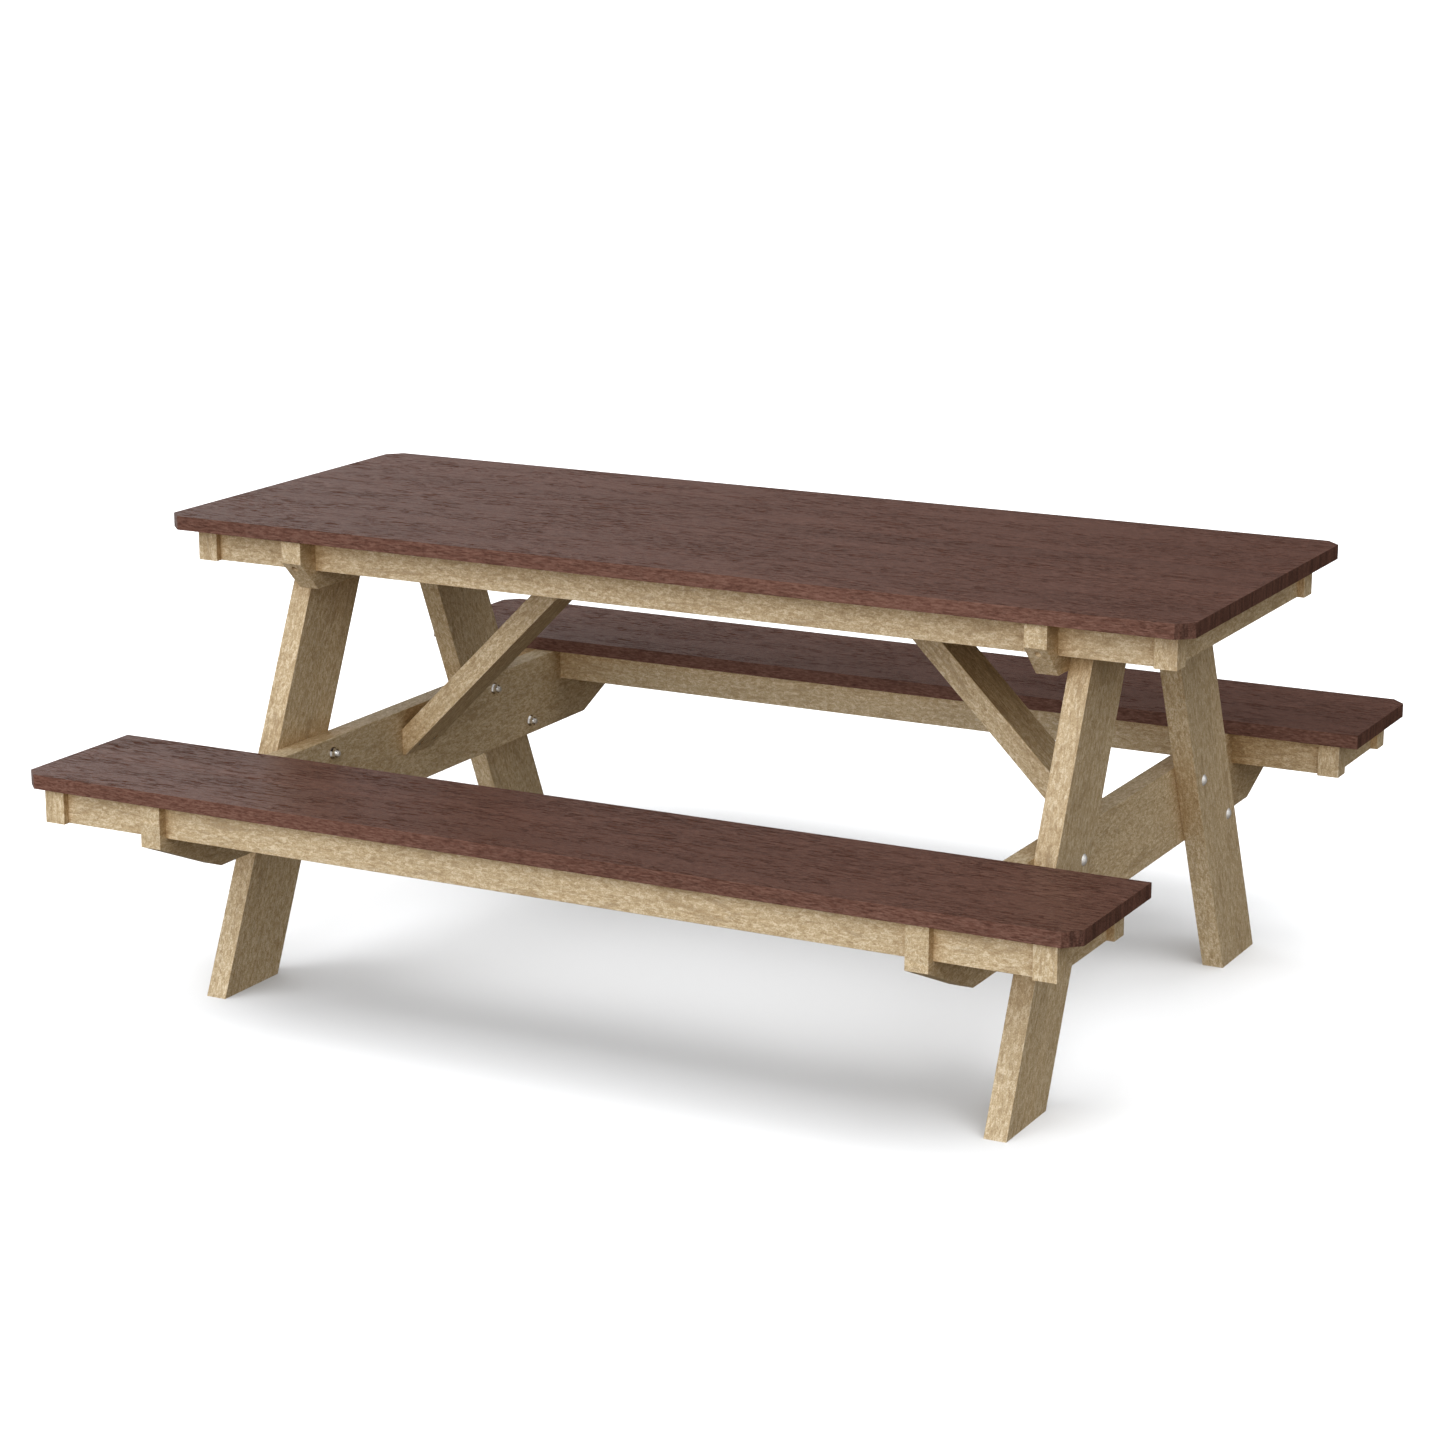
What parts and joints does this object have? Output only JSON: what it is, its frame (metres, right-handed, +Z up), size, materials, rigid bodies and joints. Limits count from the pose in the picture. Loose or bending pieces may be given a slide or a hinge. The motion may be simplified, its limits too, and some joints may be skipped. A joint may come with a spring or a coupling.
{
  "type": "picnic table",
  "caption": "A-frame picnic table with attached benches, clipped board corners, rails under the boards, diagonal braces and carriage bolts.",
  "frame": {"origin": "on the ground, at the middle of the table's footprint", "axes": "+X along the boards, +Y towards the rear bench (-Y is the front bench), +Z up"},
  "size_m": [1.82, 1.508, 0.762],
  "materials": {
    "deck_lumber": "dark brown recycled plastic lumber with pressed grain and small dark flecks, low sheen",
    "frame_lumber": "tan mottled recycled plastic lumber with darker streaks along each member",
    "bolt_steel": "bright stainless, satin",
    "screw_steel": "dull coated steel"
  },
  "bodies": {
    "root": {"bolt_nuts": "bolt_steel", "bolt_washers": "bolt_steel", "brace_batten_left": "frame_lumber", "brace_batten_right": "frame_lumber", "brace_left": "frame_lumber", "brace_right": "frame_lumber", "brace_screws": "screw_steel", "carriage_bolts": "bolt_steel", "front_seat_batten": "frame_lumber", "front_seat_board_inner": "deck_lumber", "front_seat_board_outer": "deck_lumber", "front_seat_corner_blocks": "frame_lumber", "front_seat_deck_screws": "screw_steel", "front_seat_end_rail_left": "frame_lumber", "front_seat_end_rail_right": "frame_lumber", "front_seat_rail_inner_left": "frame_lumber", "front_seat_rail_inner_middle": "frame_lumber", "front_seat_rail_inner_right": "frame_lumber", "front_seat_rail_outer_left": "frame_lumber", "front_seat_rail_outer_middle": "frame_lumber", "front_seat_rail_outer_right": "frame_lumber", "leg_front_left": "frame_lumber", "leg_front_right": "frame_lumber", "leg_rear_left": "frame_lumber", "leg_rear_right": "frame_lumber", "rear_seat_batten": "frame_lumber", "rear_seat_board_inner": "deck_lumber", "rear_seat_board_outer": "deck_lumber", "rear_seat_corner_blocks": "frame_lumber", "rear_seat_deck_screws": "screw_steel", "rear_seat_end_rail_left": "frame_lumber", "rear_seat_end_rail_right": "frame_lumber", "rear_seat_rail_inner_left": "frame_lumber", "rear_seat_rail_inner_middle": "frame_lumber", "rear_seat_rail_inner_right": "frame_lumber", "rear_seat_rail_outer_left": "frame_lumber", "rear_seat_rail_outer_middle": "frame_lumber", "rear_seat_rail_outer_right": "frame_lumber", "seat_beam_left": "frame_lumber", "seat_beam_right": "frame_lumber", "seat_beam_screws": "screw_steel", "top_board_1": "deck_lumber", "top_board_2": "deck_lumber", "top_board_3": "deck_lumber", "top_board_4": "deck_lumber", "top_board_5": "deck_lumber", "top_cleat_left": "frame_lumber", "top_cleat_right": "frame_lumber", "top_corner_blocks": "frame_lumber", "top_deck_screws": "screw_steel", "top_end_rail_left": "frame_lumber", "top_end_rail_right": "frame_lumber", "top_side_rail_front_left": "frame_lumber", "top_side_rail_front_middle": "frame_lumber", "top_side_rail_front_right": "frame_lumber", "top_side_rail_rear_left": "frame_lumber", "top_side_rail_rear_middle": "frame_lumber", "top_side_rail_rear_right": "frame_lumber"}
  },
  "joints": []
}
